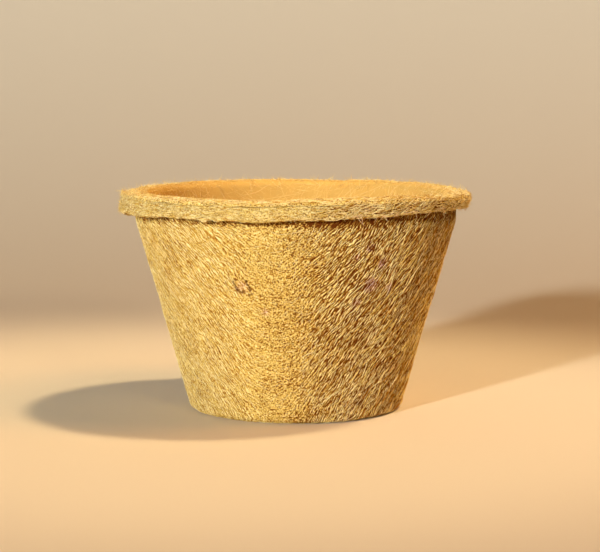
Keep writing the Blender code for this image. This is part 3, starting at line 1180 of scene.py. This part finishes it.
def foot_shade(section):
    """Painted shade on the collar's underside, which ends at the foot of its face."""
    foot = section.distance_at(COLLAR_RADIUS - COLLAR_FOOT_ROUNDING, COLLAR_FOOT + COLLAR_UNDERCUT)

    def crease_shade(azimuth, along):
        return 1.1 - 1.1 * smooth_step((along - foot + 0.8 * MM) / (1.2 * MM))
    return crease_shade


def make_collar():
    section = collar_section()
    relief = sunk_relief(rim_relief(), section, RIM_SINK)
    foot = section.distance_at(COLLAR_BORE, COLLAR_FOOT)
    top = section.distance_at(COLLAR_RADIUS - COLLAR_TOP_ROUNDING, MOUTH_TOP)
    rows = felt_rows(section, [(foot, top)], 0.4 * MM, 2.0 * MM)
    mat = sunk_relief(relief, section, MAT_DEPTH)
    rough = split_relief(rough_relief(mat, 72, 0.10 * MM, 0.9 * MM), section)
    crease_shade = foot_shade(section)
    mesh = felt_mesh("collar_felt", section, rows, 700, rough, shape_rim, closed=True, crease_shade=crease_shade)
    felt = ridged_finish("collar_mat", slant=0.10, depth=0.36, contrast=1.15, light=0.69)
    add_piece("collar_felt", mesh, felt, "rim_collar")


def make_rim():
    section = rim_section()
    relief = split_relief(sunk_relief(rim_relief(), section, RIM_SINK, 1.0), section)
    crown_end = section.distance_at(THROAT_RADIUS + CROWN_ROUNDING, POT_HEIGHT) + 1.8 * MM
    fibre = strand_finish("rim_fibre", WALL_STOPS, 0.85)
    layer = Layer(section, shape_rim, relief, fibre, "coir_collar")
    for lay in RIM_LAYS:
        lay_strands(layer, lay, (0.5 * MM, crown_end), rim_flow(76), rim_settled, foot_shade(section))
    return layer


def loose_roots(draws, count, first, last, middle=0.0, reach=180.0):
    """Random azimuths within reach of a middle, both in degrees, and random distances along a section."""
    azimuths = draws.uniform(math.radians(middle - reach), math.radians(middle + reach), count)
    return azimuths, draws.uniform(first, last, count)


def headings(draws, roots, around, upward, outward):
    """Random ways to start: a spread round the pot, and ranges up the section and out of it."""
    count = len(roots[0])
    return np.stack([draws.normal(0.0, around, count), draws.uniform(*upward, count),
                     draws.uniform(*outward, count)], axis=-1)


# Tufts of the mouth's edge: azimuth and half length in degrees, count
TUFTS = (
    (158.0, 3.0, 44), (151.0, 2.0, 24), (170.0, 5.0, 34), (-172.0, 3.0, 22), (-150.0, 6.0, 44),
    (-128.0, 5.0, 40), (-112.0, 6.0, 60), (-92.0, 6.0, 60), (118.0, 7.0, 60), (104.0, 5.0, 50),
    (91.0, 6.0, 60), (134.0, 4.0, 26), (34.0, 5.0, 14), (-40.0, 4.0, 10), (-140.0, 2.0, 26),
    (-160.0, 2.0, 16), (142.0, 2.0, 18),
)


def make_wisps(wall, hidden_neck, rim):
    draws = np.random.default_rng(90)
    section = rim.section
    lip = section.distance_at(LIP_RADIUS, LIP_FLOOR + LIP_EDGE / 2)
    throat = section.distance_at(THROAT_RADIUS, POT_HEIGHT - CROWN_ROUNDING)
    foot = section.distance_at(COLLAR_RADIUS, COLLAR_FOOT + COLLAR_UNDERCUT)

    for number, (middle, reach, count) in enumerate(((0.0, 180.0, 1700), *TUFTS)):
        name, run = (f"lip_tuft_{number}", (1.2, 3.8)) if number else ("lip_fuzz", (0.8, 2.6))
        roots = loose_roots(draws, count, lip, throat, middle, reach)
        heading = headings(draws, roots, 1.0, (-0.7, 0.7), (0.15, 1.0))
        add_wisps(name, rim, 91 + number, roots, heading, run, (0.06, 0.13))

    roots = loose_roots(draws, 1500, foot - 1.8 * MM, foot + 1.4 * MM)
    heading = headings(draws, roots, 1.1, (-0.9, 0.3), (0.0, 0.5))
    add_wisps("collar_fringe", rim, 110, roots, heading, (0.6, 2.2), (0.07, 0.14), droop=0.2)

    roots = loose_roots(draws, 44, foot - 0.2 * MM, foot + 2.4 * MM, middle=44.0, reach=28.0)
    heading = headings(draws, roots, 1.2, (-0.5, 0.5), (0.03, 0.16))
    loose = rim._replace(fibre=strand_finish("loose_fibre", LOOSE_STOPS, 0.2))
    add_wisps("collar_loose", loose, 113, roots, heading, (2.0, 5.5), (0.14, 0.20), knots=11, droop=0.15)

    on_right = loose_roots(draws, 560, foot, lip, middle=90.0, reach=16.0)
    on_left = loose_roots(draws, 560, foot, lip, middle=-90.0, reach=14.0)
    roots = np.hstack([on_right, on_left])
    heading = headings(draws, roots, 0.8, (-0.6, 0.6), (0.2, 1.0))
    add_wisps("side_fuzz", rim, 111, roots, heading, (0.6, 1.9), (0.05, 0.10))

    roots = loose_roots(draws, 220, 20 * MM, hidden_neck - 8 * MM)
    heading = headings(draws, roots, 1.0, (-1.2, 1.2), (0.03, 0.35))
    add_wisps("wall_fuzz", wall, 112, roots, heading, (1.5, 6.0), (0.05, 0.10))


# Floor, light and camera

CAMERA_AWAY = 0.796
CAMERA_HEIGHT = 0.1447
CAMERA_ASIDE = 0.0019
CAMERA_PITCH = math.radians(6.33)
CAMERA_LENS = 111.5
SENSOR = 36.0

FLOOR_FRONT = -3.0
FLOOR_BACK = 0.35
SWEEP_RADIUS = 2.6
SWEEP_HEIGHT = 3.0
SWEEP_HALF_WIDTH = 9.0
PAPER = (0.72, 0.62, 0.49, 1.0)


def make_sweep():
    """A pale floor that curves up into a backdrop."""
    profile = [(FLOOR_FRONT, 0.0)]
    profile += arc((FLOOR_BACK, SWEEP_RADIUS), SWEEP_RADIUS, -math.pi / 2, 0.0, 32)
    profile.append((FLOOR_BACK + SWEEP_RADIUS, SWEEP_HEIGHT))
    points = [(side * SWEEP_HALF_WIDTH, y, z) for y, z in profile for side in (-1.0, 1.0)]
    faces = [(2 * row, 2 * row + 1, 2 * row + 3, 2 * row + 2) for row in range(len(profile) - 1)]
    mesh = bpy.data.meshes.new("studio_sweep")
    mesh.from_pydata(points, [], faces)
    mesh.shade_smooth()
    sweep = bpy.data.objects.new("studio_sweep", mesh)
    bpy.context.scene.collection.objects.link(sweep)
    mesh.materials.append(Finish("pale_paper").close(PAPER, 0.85))


SPOT_SOFTNESS = 0.26
AIR_COLOUR = (1.0, 0.74, 0.50, 1.0)
AIR_STRENGTH = 0.02


def add_lamp(name, kind, azimuth, elevation, away, power, colour, size, target_height):
    """Adds a lamp on a sphere round a point on the pot's axis, and points it there.

    size is a sun's width or a spot's cone in degrees, and an area lamp's side in metres."""
    lamp = bpy.data.lights.new(name, kind)
    lamp.energy = power
    lamp.color = colour
    if kind == "SUN":
        lamp.angle = math.radians(size)
    elif kind == "SPOT":
        lamp.spot_size = math.radians(size)
        lamp.spot_blend = 1.0
        lamp.shadow_soft_size = SPOT_SOFTNESS
    else:
        lamp.size = size
    thing = bpy.data.objects.new(name, lamp)
    bpy.context.scene.collection.objects.link(thing)
    turn = math.radians(azimuth)
    rise = math.radians(elevation)
    way = Vector((math.sin(turn) * math.cos(rise), -math.cos(turn) * math.cos(rise), math.sin(rise)))
    thing.location = Vector((0.0, 0.0, target_height)) + way * away
    thing.rotation_euler = (-way).to_track_quat("-Z", "Y").to_euler()


# Name, kind, azimuth and elevation in degrees, metres away, power, colour, size, height aimed at
LAMPS = (
    ("key_lamp", "SUN", -31.0, 13.0, 2.0, 3.65, (0.97, 1.0, 0.95), 4.0, POT_HEIGHT / 2),
    ("front_lamp", "SUN", 28.0, 14.0, 2.0, 0.46, (1.0, 0.80, 0.52), 4.0, POT_HEIGHT / 2),
    ("low_lamp", "SPOT", -34.0, 4.0, 1.6, 40.0, (1.0, 0.28, 0.07), 8.0, POT_HEIGHT / 2),
    ("high_lamp", "SPOT", 95.0, 66.0, 1.6, 700.0, (1.0, 0.78, 0.45), 8.0, POT_HEIGHT),
    ("top_lamp", "AREA", 20.0, 86.0, 1.8, 1.2, (1.0, 0.88, 0.70), 1.6, POT_HEIGHT / 2),
    ("side_lamp", "AREA", 74.0, 54.0, 1.5, 9.0, (1.0, 0.46, 0.12), 0.5, POT_HEIGHT / 2),
)


def make_studio():
    make_sweep()
    for lamp in LAMPS:
        add_lamp(*lamp)
    world = bpy.data.worlds.new("studio_air")
    bpy.context.scene.world = world
    world.use_nodes = True
    air = world.node_tree.nodes["Background"]
    air.inputs["Color"].default_value = AIR_COLOUR
    air.inputs["Strength"].default_value = AIR_STRENGTH
    view = bpy.context.scene.view_settings
    view.view_transform = "Standard"
    view.look = "None"

    camera = bpy.data.objects.new("camera", bpy.data.cameras.new("camera"))
    camera.data.lens = CAMERA_LENS
    camera.data.sensor_width = SENSOR
    camera.location = (CAMERA_ASIDE, -CAMERA_AWAY, CAMERA_HEIGHT)
    camera.rotation_euler = (math.pi / 2 - CAMERA_PITCH, 0.0, 0.0)
    bpy.context.scene.collection.objects.link(camera)
    bpy.context.scene.camera = camera


def main():
    wall, hidden_neck = make_wall()
    make_base()
    make_lining()
    make_collar()
    make_wisps(wall, hidden_neck, make_rim())
    make_studio()


main()
